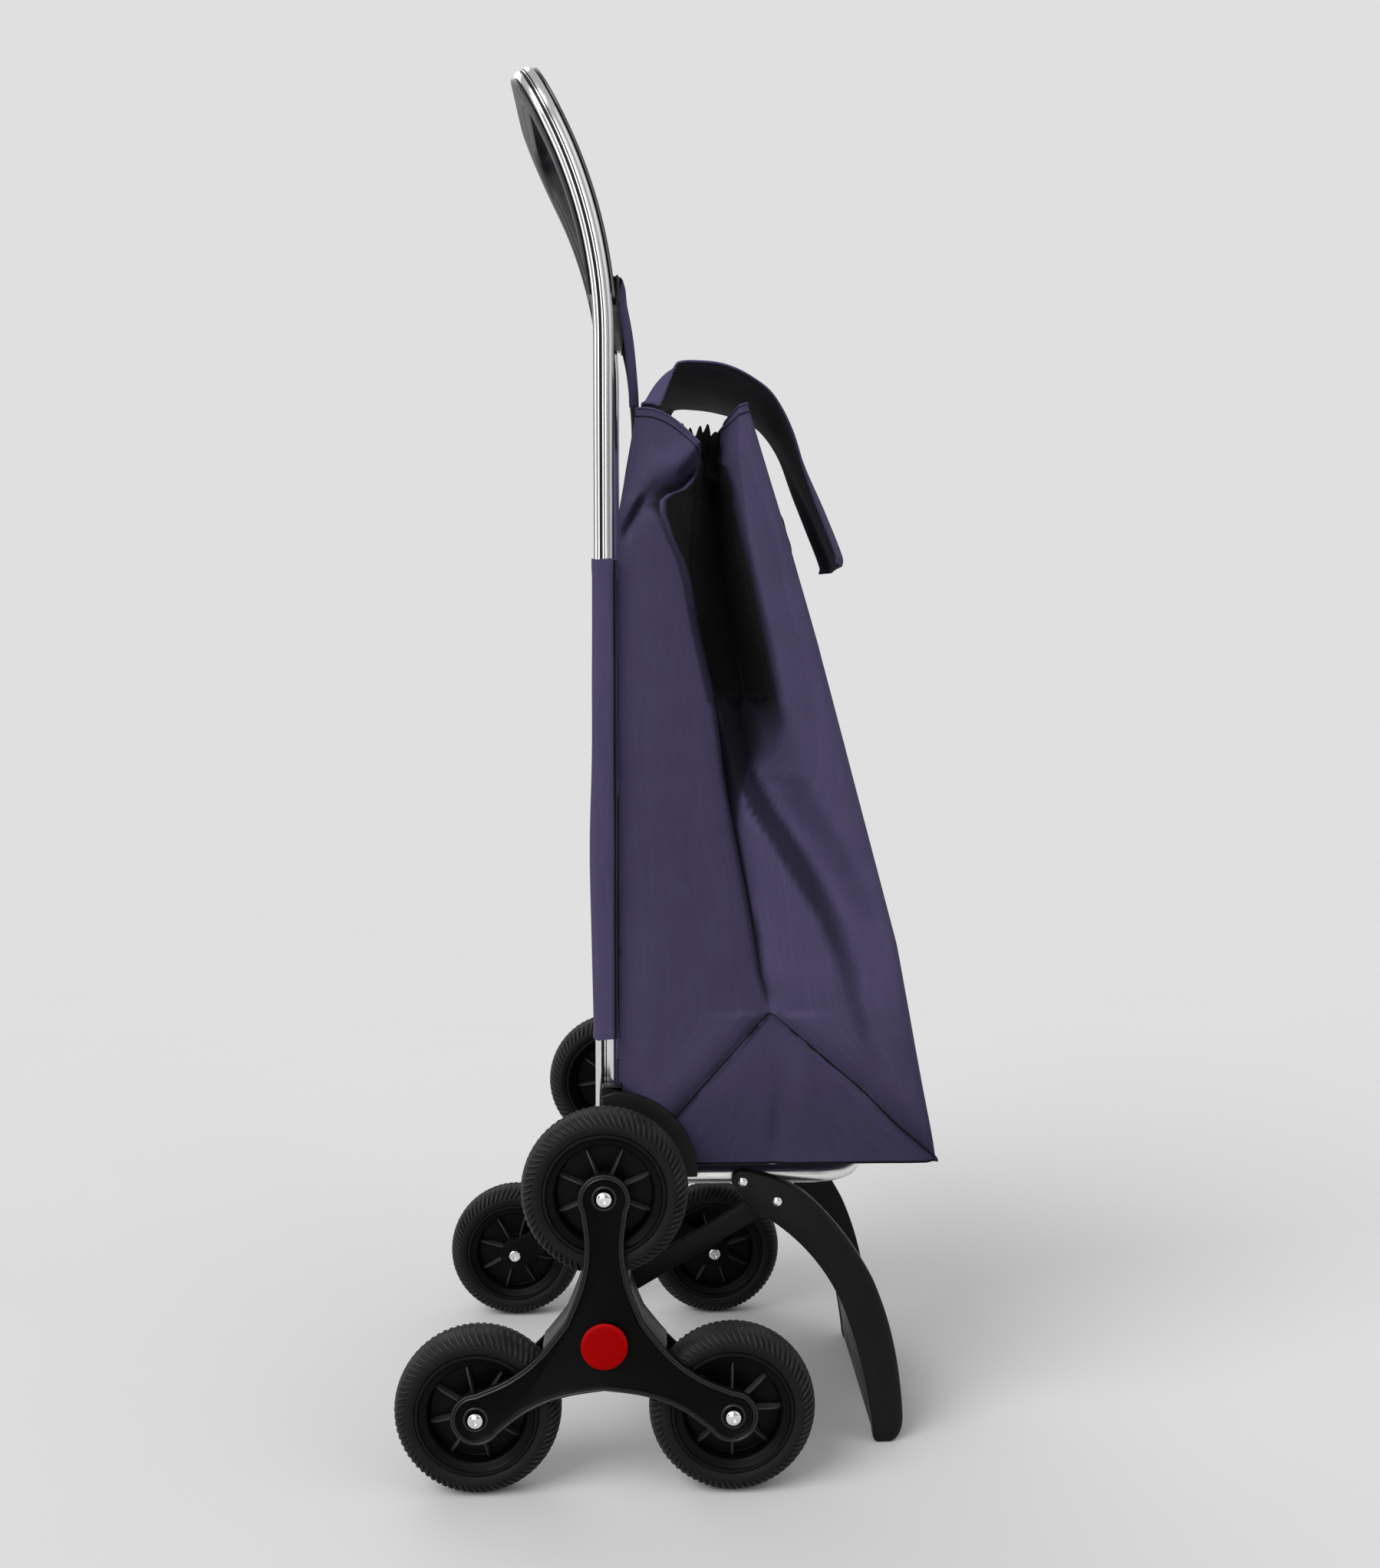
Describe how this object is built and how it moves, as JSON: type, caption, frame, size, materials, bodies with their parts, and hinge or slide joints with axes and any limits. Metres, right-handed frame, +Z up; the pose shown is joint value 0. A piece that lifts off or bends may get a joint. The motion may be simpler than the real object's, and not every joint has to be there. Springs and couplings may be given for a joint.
{
  "type": "shopping trolley",
  "caption": "Two-rail shopping trolley with a fabric bag, three-wheel stair-climbing stars on each end of the axle and a folding front leg under a tube platform.",
  "frame": {"origin": "on the floor under the middle of the trolley's bounding box", "axes": "+Z up, +X from the rails towards the front of the bag, Y along the axle; the rails stand about 56 mm behind the origin"},
  "size_m": [0.4512, 0.41, 1.1723],
  "materials": {
    "polished_tube": "polished, fine draw lines along the tube",
    "bright_steel": "bright zinc or chrome plate",
    "grip_plastic": "smooth, half gloss",
    "black_plastic": "fine moulded grain",
    "star_plastic": "satin, fine moulded grain",
    "red_cap": "smooth",
    "tyre_rubber": "matt, slanted lugs at the shoulders",
    "navy_fabric": "plain-woven polyester, slight sheen",
    "black_fabric": "thin lining",
    "black_webbing": "woven tape with a soft nap"
  },
  "bodies": {
    "root": {"frame_tube": "polished_tube", "handle_grip": "grip_plastic", "upper_crosspiece": "black_plastic", "crosspiece_screw_right": "bright_steel", "crosspiece_screw_left": "bright_steel", "lower_bracket_right": "black_plastic", "lower_bracket_left": "black_plastic", "lower_crossbar": "polished_tube", "platform_hinge_right": "black_plastic", "platform_hinge_left": "black_plastic", "hinge_pin_right": "bright_steel", "hinge_pin_left": "bright_steel", "axle": "bright_steel", "axle_spacer_right": "black_plastic", "axle_spacer_left": "black_plastic", "axle_collar_right": "black_plastic", "axle_collar_left": "black_plastic", "bag_body": "navy_fabric", "bag_collar": "black_fabric", "bag_base_board": "black_fabric", "rail_sleeve_right": "navy_fabric", "rail_sleeve_left": "navy_fabric", "back_loop": "navy_fabric", "front_strap": "black_webbing"},
    "flap": {"bag_flap": "navy_fabric"},
    "platform": {"platform_loop": "polished_tube"},
    "leg": {"front_leg": "black_plastic", "leg_rivet_right": "bright_steel", "leg_rivet_left": "bright_steel", "strut_rivet_right": "bright_steel", "strut_rivet_left": "bright_steel"},
    "struts": {"strut_right": "black_plastic", "strut_left": "black_plastic"},
    "star_right": {"star_outer_right": "star_plastic", "star_inner_right": "star_plastic", "star_bush_right": "black_plastic", "hub_cap_right": "red_cap", "wheel_bolt_top_right": "bright_steel", "wheel_bolt_rear_right": "bright_steel", "wheel_bolt_front_right": "bright_steel"},
    "star_left": {"star_outer_left": "star_plastic", "star_inner_left": "star_plastic", "star_bush_left": "black_plastic", "hub_cap_left": "red_cap", "wheel_bolt_top_left": "bright_steel", "wheel_bolt_rear_left": "bright_steel", "wheel_bolt_front_left": "bright_steel"},
    "wheel_top_right": {"wheel_hub_top_right": "black_plastic", "tyre_top_right": "tyre_rubber"},
    "wheel_rear_right": {"wheel_hub_rear_right": "black_plastic", "tyre_rear_right": "tyre_rubber"},
    "wheel_front_right": {"wheel_hub_front_right": "black_plastic", "tyre_front_right": "tyre_rubber"},
    "wheel_top_left": {"wheel_hub_top_left": "black_plastic", "tyre_top_left": "tyre_rubber"},
    "wheel_rear_left": {"wheel_hub_rear_left": "black_plastic", "tyre_rear_left": "tyre_rubber"},
    "wheel_front_left": {"wheel_hub_front_left": "black_plastic", "tyre_front_left": "tyre_rubber"}
  },
  "joints": [
    {"name": "star_spin_right", "type": "hinge", "parent": "root", "child": "star_right", "pos_m": [-0.05539, -0.178, 0.1268], "axis": [0, 1, 0], "continuous": true},
    {"name": "star_spin_left", "type": "hinge", "parent": "root", "child": "star_left", "pos_m": [-0.05539, 0.178, 0.1268], "axis": [0, 1, 0], "continuous": true},
    {"name": "wheel_spin_top_right", "type": "hinge", "parent": "star_right", "child": "wheel_top_right", "pos_m": [-0.05539, -0.178, 0.2454], "axis": [0, 1, 0], "continuous": true},
    {"name": "wheel_spin_rear_right", "type": "hinge", "parent": "star_right", "child": "wheel_rear_right", "pos_m": [-0.15811, -0.178, 0.0675], "axis": [0, 1, 0], "continuous": true},
    {"name": "wheel_spin_front_right", "type": "hinge", "parent": "star_right", "child": "wheel_front_right", "pos_m": [0.04732, -0.178, 0.0675], "axis": [0, 1, 0], "continuous": true},
    {"name": "wheel_spin_top_left", "type": "hinge", "parent": "star_left", "child": "wheel_top_left", "pos_m": [-0.05539, 0.178, 0.2454], "axis": [0, 1, 0], "continuous": true},
    {"name": "wheel_spin_rear_left", "type": "hinge", "parent": "star_left", "child": "wheel_rear_left", "pos_m": [-0.15811, 0.178, 0.0675], "axis": [0, 1, 0], "continuous": true},
    {"name": "wheel_spin_front_left", "type": "hinge", "parent": "star_left", "child": "wheel_front_left", "pos_m": [0.04732, 0.178, 0.0675], "axis": [0, 1, 0], "continuous": true},
    {"name": "platform_fold", "type": "hinge", "parent": "root", "child": "platform", "pos_m": [-0.03139, 0, 0.228], "axis": [0, -1, 0], "range_deg": [0, 80], "deforming": ["bag_body", "bag_base_board"]},
    {"name": "leg_fold", "type": "hinge", "parent": "platform", "child": "leg", "pos_m": [0.05991, 0, 0.2295], "axis": [0, -1, 0], "range_deg": [-117, 0]},
    {"name": "strut_swing", "type": "hinge", "parent": "root", "child": "struts", "pos_m": [-0.05539, 0, 0.1268], "axis": [0, -1, 0], "range_deg": [0, 42]},
    {"name": "flap_open", "type": "hinge", "parent": "root", "child": "flap", "pos_m": [-0.02539, 0, 0.884], "axis": [0, -1, 0], "range_deg": [0, 32]}
  ],
  "couplings": [
    {"joint": "leg_fold", "follows": "platform_fold", "ratio": -1.456},
    {"joint": "strut_swing", "follows": "platform_fold", "ratio": 0.519}
  ]
}
